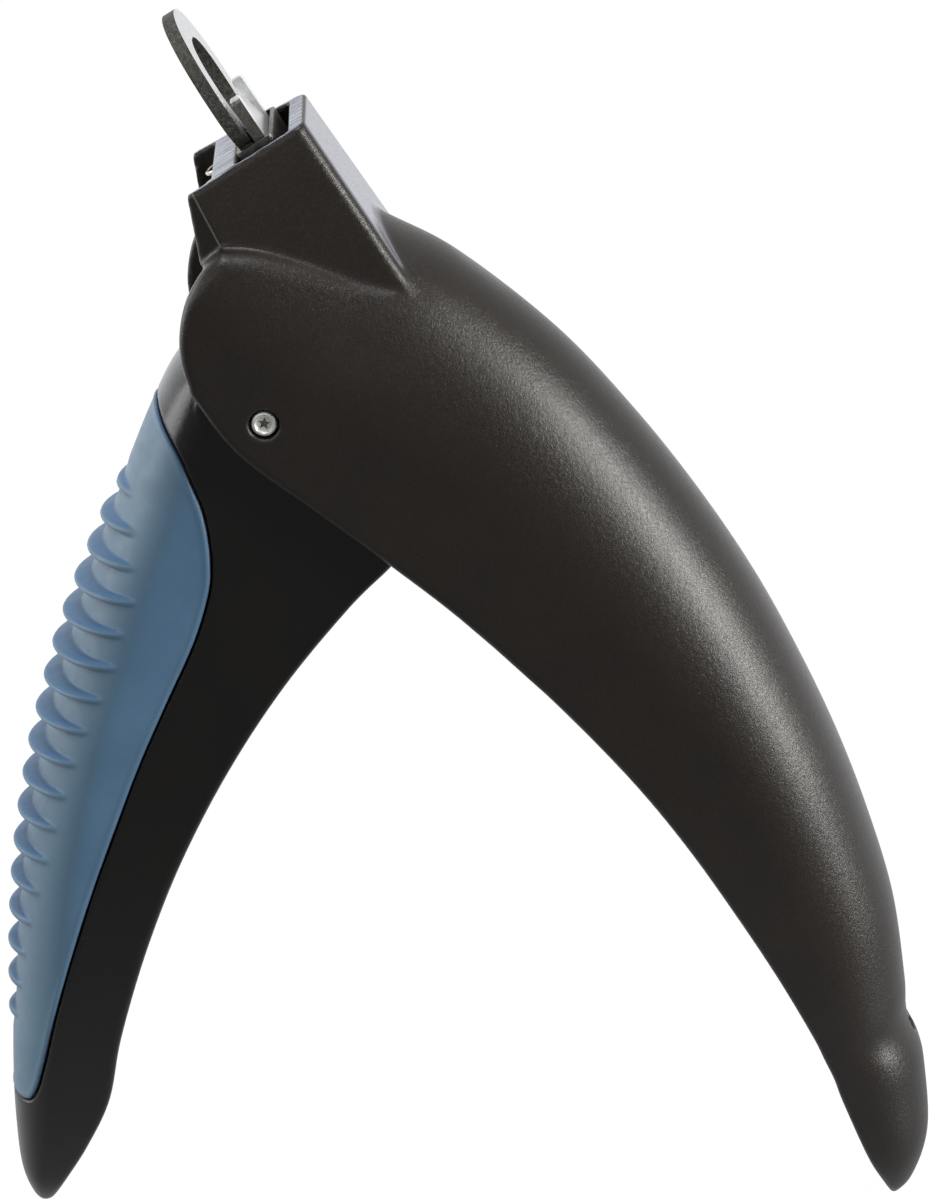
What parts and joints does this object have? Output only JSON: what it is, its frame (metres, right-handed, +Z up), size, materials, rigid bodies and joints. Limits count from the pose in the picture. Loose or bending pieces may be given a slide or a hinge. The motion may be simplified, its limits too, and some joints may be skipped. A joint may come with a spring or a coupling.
{
  "type": "guillotine pet nail trimmer",
  "caption": "Hand-squeezed guillotine claw trimmer: hooded head with a fixed ring plate and a sliding blade, long curved handle, sprung lever with a ribbed soft grip.",
  "frame": {"origin": "under the middle of the overall box, level with the lowest handle tip", "axes": "+Z up with the trimmer standing on its two handle tips and the head at the top; +X towards the back of the main handle; Y along the pivot pin, the trimmer is symmetric about Y = 0"},
  "size_m": [0.1058, 0.0266, 0.1396],
  "materials": {
    "handle_plastic": "fine textured dark warm grey moulding",
    "lever_plastic": "smooth black moulding",
    "grip_rubber": "matt blue soft grip",
    "ring_steel": "stamped plate, dark grainy edge",
    "blade_steel": "ground",
    "guide_steel": "drawn sheet",
    "spring_wire": "bright wire",
    "pin_steel": "rolled over ends",
    "rivet_steel": "plain",
    "carrier_plastic": "natural nylon, guessed",
    "washer_nylon": "natural nylon, guessed"
  },
  "bodies": {
    "frame": {"main_handle": "handle_plastic", "blade_guide": "guide_steel", "ring_plate": "ring_steel", "plate_rivet_near": "rivet_steel", "plate_rivet_far": "rivet_steel", "pivot_pin": "pin_steel", "pivot_washer_near": "washer_nylon", "pivot_washer_far": "washer_nylon", "return_spring_near": "spring_wire", "return_spring_far": "spring_wire"},
    "lever": {"lever_frame": "lever_plastic", "grip_cover": "grip_rubber", "drive_pin": "pin_steel", "drive_roller": "pin_steel"},
    "cutter": {"blade": "blade_steel", "blade_carrier": "carrier_plastic", "blade_rivet_near": "rivet_steel", "blade_rivet_far": "rivet_steel"}
  },
  "joints": [
    {"name": "lever_pivot", "type": "hinge", "parent": "frame", "child": "lever", "pos_m": [-0.0222, 0, 0.0984], "axis": [0, -1, 0], "range_deg": [0, 36.2]},
    {"name": "blade_slide", "type": "slide", "parent": "frame", "child": "cutter", "axis": [-0.5299, 0, 0.848], "range_m": [0, 0.0101], "deforming": ["return_spring_near", "return_spring_far"]}
  ],
  "couplings": [
    {"joint": "blade_slide", "follows": "lever_pivot", "m_per_rad": 0.01583}
  ]
}
